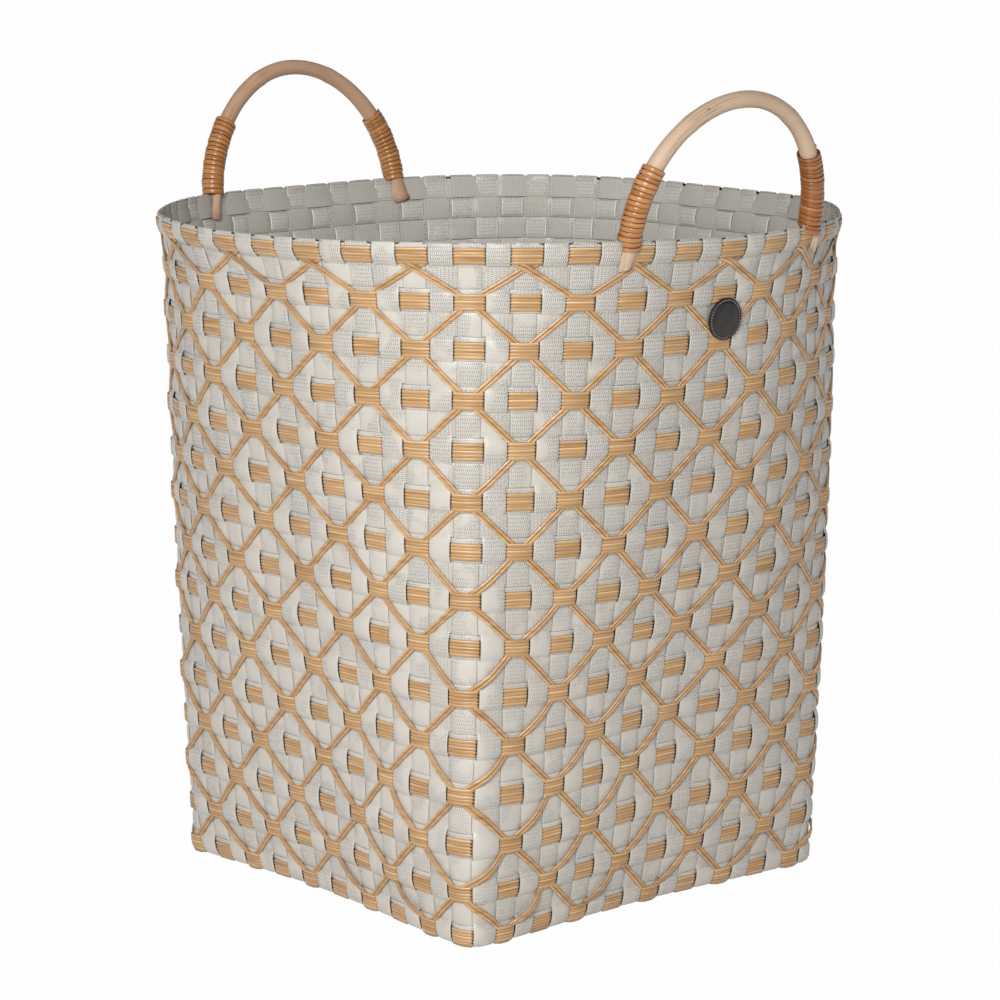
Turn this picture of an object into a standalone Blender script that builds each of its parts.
"""A storage basket woven from flat plastic strap, square at the base and nearly round at the rim.

The wall stands on its base as one woven shell, because the same long straps run across the base and up both
sides. Over it slanting strands cross in a diamond net, under fifteen tan bands, one on every second weft row. The
uprights fold over the rim, and two forked cane handles straddle it, each with a strip of rattan wound round both
of its legs. A round metal badge sits under one handle. Lengths are in metres, +Z is up, and the origin is the
middle of the underside.
"""

import math

import bmesh
import bpy
from mathutils import Matrix, Vector

# Driving dimensions of the weave
SIDE_COLUMNS = 19
BASE_PITCH = 0.0155
BASE_CORNER_RADIUS = 0.0175
RIM_HALF_WIDTH = 0.212
RIM_CORNER_RADIUS = 0.178
STRAP_WIDTH = 0.0152
WALL_THICKNESS = 0.0016
BAND_ROWS = 15
BAND_SPACING = 0.0306
FIRST_BAND_HEIGHT = 0.0072

# The slanting strands that cross the wall in diamonds
STRAND_WIDTH = 0.0040
STRAND_THICKNESS = 0.0010
STRAND_CLEARANCE = 0.0004

# The tan bands that lie on the strands
BAND_WIDTH = 0.0106
BAND_THICKNESS = 0.0009
BAND_CLEARANCE = 0.0003

# The uprights folded over the rim
FOLD_THICKNESS = 0.0008
FOLD_INNER_DEPTH = 0.0140
FOLD_CLEARANCE = 0.0003
FOLD_LIP_CLEARANCE = 0.0005

# The cane handles
CANE_DIAMETER = 0.012
LEG_COLUMNS_FROM_MIDDLE = 4.5
FRONT_HANDLE_RISE = 0.084
REAR_HANDLE_RISE = 0.0765
FRONT_HANDLE_LEAN = 0.024
REAR_HANDLE_LEAN = 0.012
PRONG_DEPTH = 0.020
SLOT_CLEARANCE = 0.0003
ARCH_STEPS = 18

# The rattan wound round each leg
STRIP_DIAMETER = 0.0019
STRIP_CLEARANCE = 0.0003
WRAP_TURNS = 14
WRAP_PITCH = 0.0032
WRAP_START = 0.0022
POINTS_PER_TURN = 9
SAMPLES_PER_SEGMENT = 4
SMOOTH_ARCH_STEPS = 240

# The badge under the front handle
BADGE_DIAMETER = 0.026
BADGE_THICKNESS = 0.0016
BADGE_LIP_WIDTH = 0.0014
BADGE_LIP_HEIGHT = 0.0005
BADGE_DOME = 0.0003
BADGE_CLEARANCE = 0.0003
BADGE_ROW = 12.5
BADGE_SIDES = 28

# Shared by the whole object
CORNER_COLUMN = 0.5
MIDDLE_COLUMN = 10
CELL_COLUMNS = 2
CUT_OVERRUN = 0.003
MERGE_DISTANCE = 0.00001

ALL_COLUMNS = 4 * SIDE_COLUMNS
CORNERS = [CORNER_COLUMN + SIDE_COLUMNS * corner for corner in range(4)]
FACETS = sorted([float(column) for column in range(0, ALL_COLUMNS, CELL_COLUMNS)] + CORNERS)
BASE_HALF_WIDTH = (ALL_COLUMNS * BASE_PITCH + (8 - 2 * math.pi) * BASE_CORNER_RADIUS) / 8
ROW_HEIGHTS = [FIRST_BAND_HEIGHT + BAND_SPACING * row for row in range(BAND_ROWS)]
RIM_ROW_HEIGHT = ROW_HEIGHTS[-1]
WALL_HEIGHT = RIM_ROW_HEIGHT + STRAP_WIDTH / 2
STRAND_MIDDLE = STRAND_CLEARANCE + STRAND_THICKNESS / 2
BAND_INSIDE = STRAND_CLEARANCE + STRAND_THICKNESS + BAND_CLEARANCE
BAND_OUTSIDE = BAND_INSIDE + BAND_THICKNESS
FOLD_TOP = WALL_HEIGHT + FOLD_CLEARANCE + FOLD_THICKNESS
FOLD_INSIDE = -WALL_THICKNESS - FOLD_CLEARANCE - FOLD_THICKNESS
STACK_MIDDLE = (FOLD_INSIDE + BAND_OUTSIDE) / 2


def outline(column, half_width, radius):
    """A point of a rounded square and the direction outwards there, the columns counted from a corner's middle."""
    straight = 2 * (half_width - radius)
    arc = math.pi / 2 * radius
    face, way = divmod((column - CORNER_COLUMN) / SIDE_COLUMNS * (straight + arc), straight + arc)
    if way < arc / 2:
        angle = way / radius - math.pi / 4
        along = radius * math.sin(angle) - straight / 2
    elif way < arc / 2 + straight:
        angle = 0
        along = way - (arc + straight) / 2
    else:
        angle = (way - arc / 2 - straight) / radius
        along = radius * math.sin(angle) + straight / 2
    outwards = half_width - radius + radius * math.cos(angle)
    turn = Matrix.Rotation(math.pi / 2 * face, 2)
    return turn @ Vector((along, -outwards)), turn @ Vector((math.sin(angle), -math.cos(angle)))


def upright(column, height, offset):
    """A point on an upright, which runs straight from the base to the rim, moved outwards by the offset."""
    share = (height - FIRST_BAND_HEIGHT) / (RIM_ROW_HEIGHT - FIRST_BAND_HEIGHT)
    low, low_out = outline(column, BASE_HALF_WIDTH, BASE_CORNER_RADIUS)
    high, high_out = outline(column, RIM_HALF_WIDTH, RIM_CORNER_RADIUS)
    place = low.lerp(high, share) + low_out.lerp(high_out, share).normalized() * offset
    return Vector((place.x, place.y, height))


def on_facet(column, height, offset):
    """A point on the facet of the wall that holds this column. Facets meet at every second column and each corner."""
    left = max(facet for facet in FACETS if facet <= column)
    right = min([facet for facet in FACETS if facet > column] + [float(ALL_COLUMNS)])
    share = (column - left) / (right - left)
    return upright(left, height, offset).lerp(upright(right, height, offset), share)


def material(name, colour, roughness, metallic=0.0):
    made = bpy.data.materials.new(name)
    made.use_nodes = True
    shader = made.node_tree.nodes["Principled BSDF"]
    shader.inputs["Base Color"].default_value = (*colour, 1.0)
    shader.inputs["Roughness"].default_value = roughness
    shader.inputs["Metallic"].default_value = metallic
    return made


def collection(name):
    made = bpy.data.collections.new(name)
    bpy.context.scene.collection.children.link(made)
    return made


def object_from(name, bm, group, finish, smooth_angle=None):
    """Writes the bmesh to a new object of the group."""
    mesh = bpy.data.meshes.new(name)
    bm.to_mesh(mesh)
    bm.free()
    made = bpy.data.objects.new(name, mesh)
    group.objects.link(made)
    if finish:
        mesh.materials.append(finish)
    if smooth_angle:
        mesh.shade_smooth()
        mesh.set_sharp_from_angle(angle=smooth_angle)
    return made


def bent_grid(across, up, place):
    """A flat grid of faces whose crossings are all put where place(across, up) says, with its seams merged."""
    bm = bmesh.new()
    bmesh.ops.create_grid(bm, x_segments=across, y_segments=up, size=1)
    for vert in bm.verts:
        vert.co = place(round((vert.co.x + 1) / 2 * across), round((vert.co.y + 1) / 2 * up))
    bmesh.ops.remove_doubles(bm, verts=bm.verts, dist=MERGE_DISTANCE)
    return bm


def face_outwards(bm):
    """Turns every face outwards, after its points were moved."""
    bm.normal_update()
    bmesh.ops.recalc_face_normals(bm, faces=bm.faces)


def hoop(name, profile, group, finish):
    """A closed hoop round the wall, from a profile of (offset from the wall, height) points."""

    def place(across, up):
        offset, height = profile[up % len(profile)]
        return upright(FACETS[across % len(FACETS)], height, offset)

    bm = bent_grid(len(FACETS), len(profile), place)
    face_outwards(bm)
    return object_from(name, bm, group, finish)


def flat_grid(first_column, last_column, levels):
    """The wall's pattern laid flat: cells of two columns by one row, halved along the slanting strands."""
    across = (last_column - first_column) // CELL_COLUMNS
    bm = bmesh.new()
    bmesh.ops.create_grid(bm, x_segments=across, y_segments=len(levels) - 1, size=1)
    halves = {}
    for face in bm.faces:
        middle = face.calc_center_median()
        cell = math.floor((middle.x + 1) / 2 * across) + first_column // CELL_COLUMNS
        row = math.floor((middle.y + 1) / 2 * (len(levels) - 1)) - levels.index(ROW_HEIGHTS[0])
        halves.setdefault((cell + row) % 2, []).append(face)
    for vert in bm.verts:
        column = first_column + CELL_COLUMNS * round((vert.co.x + 1) / 2 * across)
        level = levels[round((vert.co.y + 1) / 2 * (len(levels) - 1))]
        vert.co = (column * STRAP_WIDTH, level, 0.0)
    bmesh.ops.triangulate(bm, faces=halves[1], quad_method="FIXED")
    bmesh.ops.triangulate(bm, faces=halves[0], quad_method="ALTERNATE")
    return bm


def bend_round(bm, middle_offset, thickness_share):
    """Cuts a flat pattern at the corners of the wall, bends it round the wall and merges its seam."""
    for corner in CORNERS:
        cut = (corner * STRAP_WIDTH, 0.0, 0.0)
        everything = bm.verts[:] + bm.edges[:] + bm.faces[:]
        bmesh.ops.bisect_plane(bm, geom=everything, plane_co=cut, plane_no=(1.0, 0.0, 0.0), dist=MERGE_DISTANCE)
    for vert in bm.verts:
        column = round(vert.co.x / STRAP_WIDTH, 6) % ALL_COLUMNS
        vert.co = on_facet(column, vert.co.y, middle_offset + vert.co.z * thickness_share)
    bmesh.ops.remove_doubles(bm, verts=bm.verts, dist=MERGE_DISTANCE)


def woven_shell(group, finish):
    """The wall and the base: one sheet of the outer shape, thickened inwards."""
    bm = flat_grid(0, ALL_COLUMNS, [0.0, *ROW_HEIGHTS, WALL_HEIGHT])
    bend_round(bm, 0.0, 1.0)
    underside = [edge for edge in bm.edges if edge.is_boundary and edge.verts[0].co.z < STRAP_WIDTH]
    bmesh.ops.edgeloop_fill(bm, edges=underside)
    face_outwards(bm)
    shell = object_from("woven_shell", bm, group, finish)
    wall = shell.modifiers.new("wall", "SOLIDIFY")
    wall.thickness = WALL_THICKNESS
    wall.offset = -1
    wall.use_even_offset = True
    return shell


def diamond_net(group, finish):
    """The slanting strands of both directions, as one net round the shell. Its top and bottom edges lie under bands."""
    bm = flat_grid(-CELL_COLUMNS, ALL_COLUMNS + CELL_COLUMNS, ROW_HEIGHTS)
    grid_lines = []
    for edge in bm.edges:
        run = edge.verts[1].co - edge.verts[0].co
        if not edge.is_boundary and min(abs(run.x), abs(run.y)) < MERGE_DISTANCE:
            grid_lines.append(edge)
    bmesh.ops.dissolve_edges(bm, edges=grid_lines, use_verts=False)
    bmesh.ops.wireframe(
        bm,
        faces=bm.faces,
        thickness=STRAND_WIDTH,
        offset=0.0,
        use_replace=True,
        use_boundary=True,
        use_even_offset=True,
    )
    for column, side in ((0, -1.0), (ALL_COLUMNS, 1.0)):
        everything = bm.verts[:] + bm.edges[:] + bm.faces[:]
        bmesh.ops.bisect_plane(
            bm,
            geom=everything,
            plane_co=(column * STRAP_WIDTH, 0.0, 0.0),
            plane_no=(side, 0.0, 0.0),
            dist=MERGE_DISTANCE,
            clear_outer=True,
        )
    bend_round(bm, STRAND_MIDDLE, STRAND_THICKNESS / STRAND_WIDTH)
    face_outwards(bm)
    return object_from("diamond_net", bm, group, finish)


def tan_bands(group, finish):
    """One band on every second weft row."""
    for row, middle in enumerate(ROW_HEIGHTS):
        low = middle - BAND_WIDTH / 2
        high = middle + BAND_WIDTH / 2
        profile = [(BAND_INSIDE, low), (BAND_OUTSIDE, low), (BAND_OUTSIDE, high), (BAND_INSIDE, high)]
        hoop(f"tan_band_{row + 1:02d}", profile, group, finish)


def rim_fold(group, finish):
    """The uprights' ends, which fold over the top edge and run down inside, with a short lip outside."""
    inner = -WALL_THICKNESS - FOLD_CLEARANCE
    lip_inside = FOLD_LIP_CLEARANCE
    lip_outside = lip_inside + FOLD_THICKNESS
    inner_end = WALL_HEIGHT - FOLD_INNER_DEPTH
    lip_end = RIM_ROW_HEIGHT + BAND_WIDTH / 2 + FOLD_CLEARANCE
    under = FOLD_TOP - FOLD_THICKNESS
    profile = [
        (FOLD_INSIDE, inner_end),
        (inner, inner_end),
        (inner, under),
        (lip_inside, under),
        (lip_inside, lip_end),
        (lip_outside, lip_end),
        (lip_outside, FOLD_TOP),
        (FOLD_INSIDE, FOLD_TOP),
    ]
    return hoop("rim_fold", profile, group, finish)


def leg_column(side, leg):
    """The column that a leg straddles: side -1 is the front handle and 1 the rear, leg -1 stands at -X."""
    middle = MIDDLE_COLUMN if side < 0 else MIDDLE_COLUMN + 2 * SIDE_COLUMNS
    return middle - side * leg * LEG_COLUMNS_FROM_MIDDLE


def fork_point(side, leg, depth):
    """A point on the middle of a leg's fork, this far below the top of the rim."""
    return on_facet(leg_column(side, leg), FOLD_TOP - depth, STACK_MIDDLE)


def arch_points(side, rise, lean, steps):
    """The middle line of a handle above the rim, half an ellipse that leans outwards."""
    left, right = (fork_point(side, leg, 0.0) for leg in (-1, 1))
    middle = left.lerp(right, 0.5)
    peak = Vector((0.0, side * lean, rise))
    points = []
    for step in range(steps + 1):
        angle = math.pi * step / steps
        points.append(middle + (left - middle) * math.cos(angle) + peak * math.sin(angle))
    return points


def cane_path(side, rise, lean):
    """The middle line of a whole handle, from one tip over the arch to the other."""
    tips = [fork_point(side, leg, PRONG_DEPTH) for leg in (-1, 1)]
    return [tips[0], *arch_points(side, rise, lean, ARCH_STEPS), tips[1]]


def tube(name, points, diameter, resolution, group, finish):
    """A round tube along the points."""
    curve = bpy.data.curves.new(name, "CURVE")
    curve.dimensions = "3D"
    curve.bevel_depth = diameter / 2
    curve.bevel_resolution = resolution
    curve.use_fill_caps = True
    spline = curve.splines.new("POLY")
    spline.points.add(len(points) - 1)
    for place, point in zip(points, spline.points):
        point.co = (*place, 1.0)
    made = bpy.data.objects.new(name, curve)
    group.objects.link(made)
    if finish:
        curve.materials.append(finish)
    return made


def as_mesh(curve_object, group):
    """The same tube as a mesh with its caps welded, so that it can be cut."""
    bpy.context.view_layer.update()
    graph = bpy.context.evaluated_depsgraph_get()
    mesh = bpy.data.meshes.new_from_object(curve_object.evaluated_get(graph))
    bm = bmesh.new()
    bm.from_mesh(mesh)
    bmesh.ops.remove_doubles(bm, verts=bm.verts, dist=MERGE_DISTANCE)
    bm.to_mesh(mesh)
    bm.free()
    name = curve_object.name
    made = bpy.data.objects.new(name, mesh)
    made.matrix_world = curve_object.matrix_world.copy()
    bpy.data.objects.remove(curve_object)
    made.name = name
    group.objects.link(made)
    return made


def rim_cutter(name, side, leg, group):
    """A block that stands where the rim passes through a leg's fork, larger all round by the clearance."""
    column = leg_column(side, leg)
    inside = FOLD_INSIDE - SLOT_CLEARANCE
    outside = BAND_OUTSIDE + SLOT_CLEARANCE
    low = FOLD_TOP - PRONG_DEPTH - CUT_OVERRUN
    high = FOLD_TOP + SLOT_CLEARANCE
    bm = bmesh.new()
    bmesh.ops.create_cube(bm, size=2)
    facet_start = column // CELL_COLUMNS * CELL_COLUMNS
    tangent = (on_facet(column, FOLD_TOP, 0.0) - on_facet(facet_start, FOLD_TOP, 0.0)).normalized()
    for vert in bm.verts:
        offset = inside if vert.co.y < 0 else outside
        height = low if vert.co.z < 0 else high
        vert.co = on_facet(column, height, offset) + tangent * vert.co.x * CANE_DIAMETER
    face_outwards(bm)
    cutter = object_from(name, bm, group, None)
    cutter.hide_render = True
    cutter.display_type = "WIRE"
    return cutter


def cane_handle(name, side, rise, lean, group, cutters, finish):
    """A bent cane whose forked ends straddle the rim."""
    cane = as_mesh(tube(name, cane_path(side, rise, lean), CANE_DIAMETER, 2, group, finish), group)
    cane.data.shade_smooth()
    for leg, word in ((-1, "left"), (1, "right")):
        slot = cane.modifiers.new(f"{word} slot", "BOOLEAN")
        slot.operation = "DIFFERENCE"
        slot.solver = "EXACT"
        slot.object = rim_cutter(f"{name}_{word}_slot", side, leg, cutters)
    return cane


def place_along(points, distance):
    """The point and the direction this far along a line of straight runs."""
    for start, end in zip(points, points[1:]):
        run = (end - start).length
        if distance <= run:
            break
        distance -= run
    direction = (end - start).normalized()
    return start + direction * distance, direction


def winding_points(side, leg, rise, lean):
    """The middle line of a strip wound round a leg just above the rim."""
    path = arch_points(side, rise, lean, SMOOTH_ARCH_STEPS)
    if leg > 0:
        path.reverse()
    sideways = (path[-1] - path[0]).normalized()
    upwards = Vector((0.0, side * lean, rise)).normalized()
    through = sideways.cross(upwards)
    flat_share = math.cos(math.pi / POINTS_PER_TURN)
    radius = (CANE_DIAMETER / 2 + STRIP_CLEARANCE + STRIP_DIAMETER / 2) / flat_share
    points = []
    for step in range(WRAP_TURNS * POINTS_PER_TURN + 1):
        turns = step / POINTS_PER_TURN
        centre, direction = place_along(path, WRAP_START + WRAP_PITCH * turns)
        across = through.cross(direction).normalized()
        angle = 2 * math.pi * turns
        points.append(centre + (across * math.cos(angle) + through * math.sin(angle)) * radius)
    return points


def least_gap_to_itself(points, diameter):
    """The least clear distance between parts of a wound tube that are half a turn or more apart."""
    samples = []
    for start, end in zip(points, points[1:]):
        samples += [start.lerp(end, step / SAMPLES_PER_SEGMENT) for step in range(SAMPLES_PER_SEGMENT)]
    apart = SAMPLES_PER_SEGMENT * POINTS_PER_TURN // 2
    nearest = min(
        (one - other).length
        for index, one in enumerate(samples)
        for other in samples[index + apart : index + 3 * apart]
    )
    return nearest - diameter


def leg_wrap(name, side, leg, rise, lean, group, finish):
    """A rattan strip wound round one leg of a handle."""
    points = winding_points(side, leg, rise, lean)
    print(name, "least gap to itself", round(least_gap_to_itself(points, STRIP_DIAMETER), 6), "m")
    return tube(name, points, STRIP_DIAMETER, 0, group, finish)


def badge(group, finish):
    """A thin turned disc with a raised lip, lying on the two bands above and below it."""
    radius = BADGE_DIAMETER / 2
    profile = [
        (0.0, BADGE_THICKNESS + BADGE_DOME),
        ((radius - BADGE_LIP_WIDTH) / 2, BADGE_THICKNESS + BADGE_DOME * 3 / 4),
        (radius - BADGE_LIP_WIDTH, BADGE_THICKNESS),
        (radius - BADGE_LIP_WIDTH, BADGE_THICKNESS + BADGE_LIP_HEIGHT),
        (radius - BADGE_LIP_WIDTH / 3, BADGE_THICKNESS + BADGE_LIP_HEIGHT),
        (radius, BADGE_THICKNESS),
        (radius, 0.0),
        (0.0, 0.0),
    ]
    bm = bmesh.new()
    verts = [bm.verts.new((out, 0.0, up)) for out, up in profile]
    edges = [bm.edges.new(pair) for pair in zip(verts, verts[1:])]
    bmesh.ops.spin(
        bm,
        geom=verts + edges,
        cent=(0.0, 0.0, 0.0),
        axis=(0.0, 0.0, 1.0),
        angle=2 * math.pi,
        steps=BADGE_SIDES,
        use_merge=True,
    )
    bmesh.ops.remove_doubles(bm, verts=bm.verts, dist=MERGE_DISTANCE)
    face_outwards(bm)
    height = FIRST_BAND_HEIGHT + BAND_SPACING * BADGE_ROW
    middle = upright(MIDDLE_COLUMN, height, 0.0)
    up_wall = (upright(MIDDLE_COLUMN, height + BADGE_DIAMETER, 0.0) - middle).normalized()
    outwards = Vector((1.0, 0.0, 0.0)).cross(up_wall).normalized()
    made = object_from("badge", bm, group, finish, math.radians(35))
    made.matrix_world = Matrix(
        (
            (1.0, up_wall.x, outwards.x, middle.x + outwards.x * (BAND_OUTSIDE + BADGE_CLEARANCE)),
            (0.0, up_wall.y, outwards.y, middle.y + outwards.y * (BAND_OUTSIDE + BADGE_CLEARANCE)),
            (0.0, up_wall.z, outwards.z, middle.z + outwards.z * (BAND_OUTSIDE + BADGE_CLEARANCE)),
            (0.0, 0.0, 0.0, 1.0),
        )
    )
    return made


def main():
    for old in list(bpy.data.objects):
        bpy.data.objects.remove(old)
    basket = collection("storage_basket")
    cutters = collection("cutters")

    strap = material("grey_strap", (0.55, 0.54, 0.49), 0.5)
    tan = material("tan_strand", (0.60, 0.33, 0.11), 0.45)
    cane = material("peeled_cane", (0.68, 0.50, 0.32), 0.5)
    rattan = material("rattan_strip", (0.50, 0.19, 0.045), 0.35)
    pewter = material("dark_pewter", (0.10, 0.10, 0.10), 0.4, 1.0)

    woven_shell(basket, strap)
    diamond_net(basket, tan)
    tan_bands(basket, tan)
    rim_fold(basket, strap)
    handles = (
        ("front", -1, FRONT_HANDLE_RISE, FRONT_HANDLE_LEAN),
        ("rear", 1, REAR_HANDLE_RISE, REAR_HANDLE_LEAN),
    )
    for where, side, rise, lean in handles:
        cane_handle(f"{where}_handle", side, rise, lean, basket, cutters, cane)
        for leg, word in ((-1, "left"), (1, "right")):
            leg_wrap(f"{where}_{word}_wrap", side, leg, rise, lean, basket, rattan)
    badge(basket, pewter)


main()
